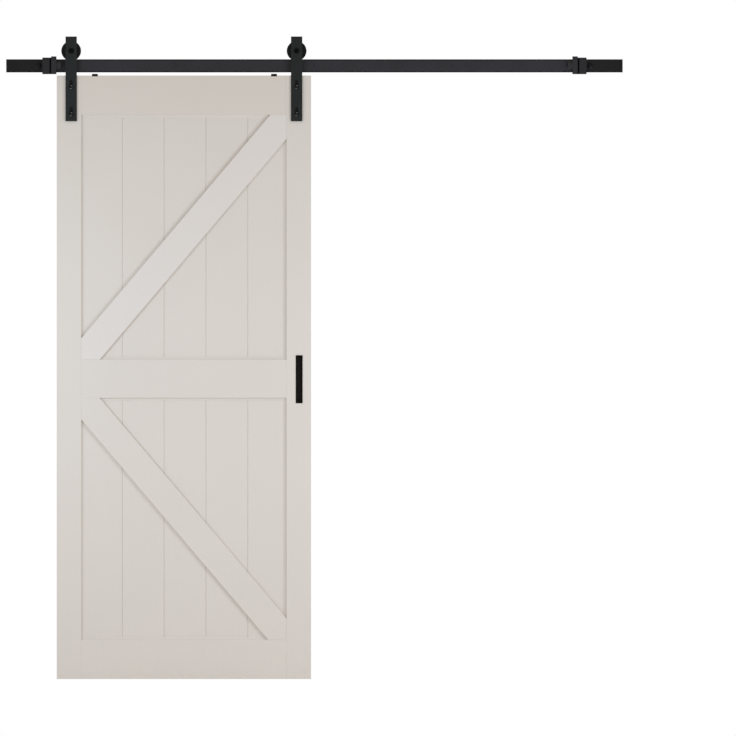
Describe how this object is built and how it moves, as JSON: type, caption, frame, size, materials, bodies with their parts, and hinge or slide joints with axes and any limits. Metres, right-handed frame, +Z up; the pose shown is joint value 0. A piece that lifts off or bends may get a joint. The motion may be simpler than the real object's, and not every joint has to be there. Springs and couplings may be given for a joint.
{
  "type": "sliding barn door",
  "caption": "Braced plank door leaf that hangs from a flat wall rail on two strap hangers with grooved wheels and slides sideways between end stops.",
  "frame": {"origin": "on the wall plane, on the axis of the middle wall screw, at mid-height of the rail", "axes": "+X along the rail to the right, as seen from the front; +Y into the wall, so the front faces -Y; +Z up"},
  "size_m": [2.182, 0.125, 2.2742],
  "materials": {
    "rail_black": "satin black powder coat on steel",
    "hanger_black": "satin black powder coat on steel",
    "wheel_nylon": "turned black nylon",
    "black_rubber": "moulded black rubber",
    "zinc_steel": "zinc-plated steel",
    "bearing_steel": "ground bearing steel",
    "pull_black": "semi-gloss black lacquer on zinc alloy",
    "disc_black": "moulded black nylon",
    "leaf_paint": "fibreboard sprayed in satin off-white",
    "dowel_beech": "plain beech"
  },
  "bodies": {
    "track": {"rail": "rail_black", "wall_spacers": "rail_black", "end_wall_bolts": "rail_black", "inner_wall_screws": "rail_black", "left_stop_block": "rail_black", "right_stop_block": "rail_black", "left_stop_plate": "rail_black", "right_stop_plate": "rail_black", "left_stop_pad": "black_rubber", "right_stop_pad": "black_rubber", "left_stop_buffer": "black_rubber", "right_stop_buffer": "black_rubber", "buffer_studs": "zinc_steel", "stop_set_screws": "rail_black"},
    "door_leaf": {"left_stile": "leaf_paint", "right_stile": "leaf_paint", "leaf_top_rail": "leaf_paint", "leaf_mid_rail": "leaf_paint", "leaf_bottom_rail": "leaf_paint", "upper_brace": "leaf_paint", "lower_brace": "leaf_paint", "upper_panel_bead": "leaf_paint", "lower_panel_bead": "leaf_paint", "upper_plank_1": "leaf_paint", "upper_plank_2": "leaf_paint", "upper_plank_3": "leaf_paint", "upper_plank_4": "leaf_paint", "upper_plank_5": "leaf_paint", "lower_plank_1": "leaf_paint", "lower_plank_2": "leaf_paint", "lower_plank_3": "leaf_paint", "lower_plank_4": "leaf_paint", "lower_plank_5": "leaf_paint", "frame_dowels": "dowel_beech", "left_hanger_strap": "hanger_black", "right_hanger_strap": "hanger_black", "left_strap_pad": "black_rubber", "right_strap_pad": "black_rubber", "door_bolts": "hanger_black", "door_sleeve_nuts": "zinc_steel", "left_axle_bolt": "hanger_black", "right_axle_bolt": "hanger_black", "left_axle_bush": "zinc_steel", "right_axle_bush": "zinc_steel", "axle_washers": "zinc_steel", "axle_nuts": "zinc_steel", "left_bearing_inner_ring": "bearing_steel", "right_bearing_inner_ring": "bearing_steel", "flush_pull": "pull_black", "pull_screws": "pull_black", "left_antijump_disc": "disc_black", "right_antijump_disc": "disc_black", "antijump_screws": "zinc_steel"},
    "left_wheel": {"left_wheel": "wheel_nylon", "left_bearing_outer_ring": "bearing_steel", "left_bearing_balls": "bearing_steel"},
    "right_wheel": {"right_wheel": "wheel_nylon", "right_bearing_outer_ring": "bearing_steel", "right_bearing_balls": "bearing_steel"}
  },
  "joints": [
    {"name": "door_slide", "type": "slide", "parent": "track", "child": "door_leaf", "axis": [1, 0, 0], "range_m": [-0.0145, 0.9385]},
    {"name": "left_wheel_spin", "type": "hinge", "parent": "door_leaf", "child": "left_wheel", "pos_m": [-0.861, -0.0275, 0.05295], "axis": [0, 1, 0], "range_deg": [-30, 1815]},
    {"name": "right_wheel_spin", "type": "hinge", "parent": "door_leaf", "child": "right_wheel", "pos_m": [-0.063, -0.0275, 0.05295], "axis": [0, 1, 0], "range_deg": [-30, 1815]}
  ],
  "couplings": [
    {"joint": "left_wheel_spin", "follows": "door_slide", "rad_per_m": 33.67},
    {"joint": "right_wheel_spin", "follows": "door_slide", "rad_per_m": 33.67}
  ]
}
